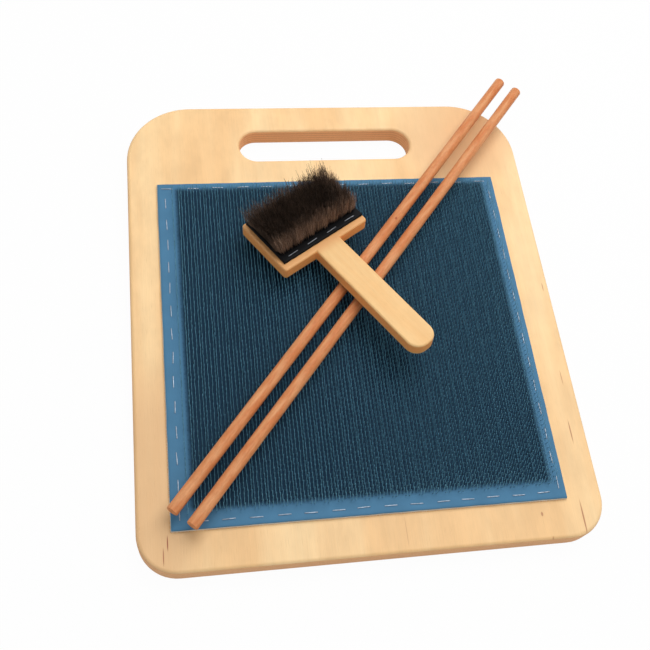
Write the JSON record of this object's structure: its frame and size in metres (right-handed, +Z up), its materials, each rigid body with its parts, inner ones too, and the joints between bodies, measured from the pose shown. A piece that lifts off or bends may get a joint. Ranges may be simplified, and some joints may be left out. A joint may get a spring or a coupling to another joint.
{
  "type": "blending board",
  "caption": "Flat plywood board with a hand slot, faced with stapled card cloth, carrying a packing brush and two dowels for rolling fibre.",
  "frame": {"origin": "middle of the board's flat underside, which the object rests on", "axes": "+Z up through the board's thickness, +Y from the front edge to the back edge with the hand slot, +X to the right"},
  "size_m": [0.3717, 0.4369, 0.0755],
  "materials": {
    "plywood": "sanded and oiled, satin",
    "canvas": "woven cotton, matte",
    "facing_rubber": "matte",
    "carding_wire": "ground tips, satin",
    "staple_wire": "bright, satin",
    "dowel_wood": "sanded, satin",
    "paddle_wood": "sanded and oiled, satin",
    "backing_rubber": "matte",
    "bristle": "stiff fine bristle, slight sheen"
  },
  "bodies": {
    "board": {"board": "plywood", "canvas_foundation": "canvas", "rubber_facing": "facing_rubber", "carding_wires": "carding_wire", "staples_front": "staple_wire", "staples_back": "staple_wire", "staples_left": "staple_wire", "staples_right": "staple_wire"},
    "dowel_left": {"dowel_left": "dowel_wood"},
    "dowel_right": {"dowel_right": "dowel_wood"},
    "brush": {"brush_paddle": "paddle_wood", "brush_backing": "backing_rubber", "brush_bristles": "bristle", "brush_staples_near": "staple_wire", "brush_staples_far": "staple_wire"}
  },
  "joints": [
    {"name": "brush_lift", "type": "slide", "parent": "board", "child": "brush", "axis": [0, 0, 1], "range_m": [0, 0.12]},
    {"name": "dowel_left_draw", "type": "slide", "parent": "board", "child": "dowel_left", "axis": [0.6401, 0.7683, 0], "range_m": [0, 0.5]},
    {"name": "dowel_right_draw", "type": "slide", "parent": "board", "child": "dowel_right", "axis": [0.6401, 0.7683, 0], "range_m": [0, 0.5]}
  ]
}
